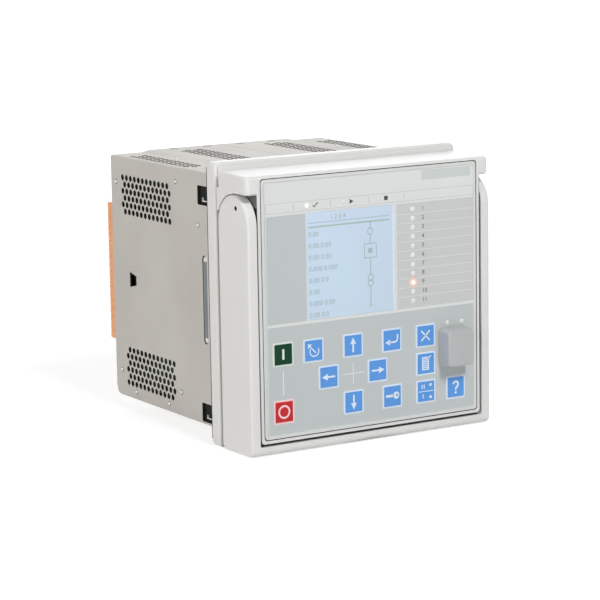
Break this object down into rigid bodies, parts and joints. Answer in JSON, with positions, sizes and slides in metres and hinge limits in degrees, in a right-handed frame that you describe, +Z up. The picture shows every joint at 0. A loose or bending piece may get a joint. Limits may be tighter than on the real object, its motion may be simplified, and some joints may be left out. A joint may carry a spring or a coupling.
{
  "type": "protection relay",
  "caption": "Flush mounted protection relay: perforated sheet case, moulded flange, and a plug-in unit with display, keys and a lifting handle.",
  "frame": {"origin": "on the ground under the middle of the relay", "axes": "+Z up, the operator panel faces -Y, +Y towards the terminals behind"},
  "size_m": [0.177, 0.212, 0.177],
  "materials": {
    "galvanised_sheet": "matt galvanised",
    "light_grey_plastic": "fine texture",
    "panel_border_plastic": "fine texture",
    "grey_overlay": "printed film",
    "black_plastic": "matt",
    "black_rubber": "matt",
    "orange_plastic": "satin",
    "bright_steel": "bright",
    "green_board": "solder resist",
    "white_plastic": "satin",
    "transformer_tape": "tape",
    "display_glass": "pale blue liquid crystal behind clear plastic",
    "clear_light_guide": "clear",
    "port_cover_grey": "satin",
    "blue_key": "satin",
    "green_key": "satin",
    "red_key": "satin"
  },
  "bodies": {
    "case": {"case_left": "galvanised_sheet", "case_right": "galvanised_sheet", "rear_plate": "galvanised_sheet", "front_flange": "light_grey_plastic", "gasket": "black_rubber", "card_guide_upper": "black_plastic", "card_guide_lower": "black_plastic", "communication_plate": "galvanised_sheet", "rear_jack": "bright_steel", "earth_screw": "bright_steel", "terminal_header_1": "black_plastic", "terminal_plug_1": "orange_plastic", "terminal_header_2": "black_plastic", "terminal_plug_2": "orange_plastic", "terminal_header_3": "black_plastic", "terminal_plug_3": "orange_plastic", "terminal_header_4": "black_plastic", "terminal_plug_4": "orange_plastic"},
    "plug_in_unit": {"front_housing": "light_grey_plastic", "handle_pin_left": "bright_steel", "handle_pin_right": "bright_steel", "panel_plate": "panel_border_plastic", "overlay": "grey_overlay", "display_window": "display_glass", "display_module": "bright_steel", "alarm_light_guide": "clear_light_guide", "status_light_guide": "clear_light_guide", "port_light_guide": "clear_light_guide", "key_switch_board": "green_board", "panel_board": "green_board", "front_jack": "bright_steel", "unit_chassis": "galvanised_sheet", "input_output_board": "green_board", "measuring_board": "green_board", "processor_board": "green_board", "power_supply_board": "green_board", "output_relay_1": "white_plastic", "output_relay_2": "white_plastic", "measuring_transformer_1": "transformer_tape", "measuring_transformer_2": "transformer_tape", "supply_transformer_1": "transformer_tape", "board_connector_1": "black_plastic", "board_connector_2": "black_plastic", "board_connector_3": "black_plastic", "board_connector_4": "black_plastic"},
    "handle": {"handle": "light_grey_plastic"},
    "port_cover": {"port_cover": "port_cover_grey"},
    "key_close": {"key_close": "green_key"},
    "key_open": {"key_open": "red_key"},
    "key_escape": {"key_escape": "blue_key"},
    "key_left": {"key_left": "blue_key"},
    "key_up": {"key_up": "blue_key"},
    "key_down": {"key_down": "blue_key"},
    "key_right": {"key_right": "blue_key"},
    "key_enter": {"key_enter": "blue_key"},
    "key_lock": {"key_lock": "blue_key"},
    "key_clear": {"key_clear": "blue_key"},
    "key_menu": {"key_menu": "blue_key"},
    "key_select": {"key_select": "blue_key"},
    "key_help": {"key_help": "blue_key"}
  },
  "joints": [
    {"name": "unit_slide", "type": "slide", "parent": "case", "child": "plug_in_unit", "axis": [0, -1, 0], "range_m": [0, 0.15]},
    {"name": "handle_pivot", "type": "hinge", "parent": "plug_in_unit", "child": "handle", "pos_m": [0, -0.082, 0.1518], "axis": [-1, 0, 0], "range_deg": [0, 45]},
    {"name": "port_cover_pull", "type": "slide", "parent": "plug_in_unit", "child": "port_cover", "axis": [0, -1, 0], "range_m": [0, 0.02]},
    {"name": "key_close_press", "type": "slide", "parent": "plug_in_unit", "child": "key_close", "axis": [0, 1, 0], "range_m": [0, 0.0005], "stiffness_N_per_m": 600},
    {"name": "key_open_press", "type": "slide", "parent": "plug_in_unit", "child": "key_open", "axis": [0, 1, 0], "range_m": [0, 0.0005], "stiffness_N_per_m": 600},
    {"name": "key_escape_press", "type": "slide", "parent": "plug_in_unit", "child": "key_escape", "axis": [0, 1, 0], "range_m": [0, 0.0005], "stiffness_N_per_m": 600},
    {"name": "key_left_press", "type": "slide", "parent": "plug_in_unit", "child": "key_left", "axis": [0, 1, 0], "range_m": [0, 0.0005], "stiffness_N_per_m": 600},
    {"name": "key_up_press", "type": "slide", "parent": "plug_in_unit", "child": "key_up", "axis": [0, 1, 0], "range_m": [0, 0.0005], "stiffness_N_per_m": 600},
    {"name": "key_down_press", "type": "slide", "parent": "plug_in_unit", "child": "key_down", "axis": [0, 1, 0], "range_m": [0, 0.0005], "stiffness_N_per_m": 600},
    {"name": "key_right_press", "type": "slide", "parent": "plug_in_unit", "child": "key_right", "axis": [0, 1, 0], "range_m": [0, 0.0005], "stiffness_N_per_m": 600},
    {"name": "key_enter_press", "type": "slide", "parent": "plug_in_unit", "child": "key_enter", "axis": [0, 1, 0], "range_m": [0, 0.0005], "stiffness_N_per_m": 600},
    {"name": "key_lock_press", "type": "slide", "parent": "plug_in_unit", "child": "key_lock", "axis": [0, 1, 0], "range_m": [0, 0.0005], "stiffness_N_per_m": 600},
    {"name": "key_clear_press", "type": "slide", "parent": "plug_in_unit", "child": "key_clear", "axis": [0, 1, 0], "range_m": [0, 0.0005], "stiffness_N_per_m": 600},
    {"name": "key_menu_press", "type": "slide", "parent": "plug_in_unit", "child": "key_menu", "axis": [0, 1, 0], "range_m": [0, 0.0005], "stiffness_N_per_m": 600},
    {"name": "key_select_press", "type": "slide", "parent": "plug_in_unit", "child": "key_select", "axis": [0, 1, 0], "range_m": [0, 0.0005], "stiffness_N_per_m": 600},
    {"name": "key_help_press", "type": "slide", "parent": "plug_in_unit", "child": "key_help", "axis": [0, 1, 0], "range_m": [0, 0.0005], "stiffness_N_per_m": 600}
  ]
}
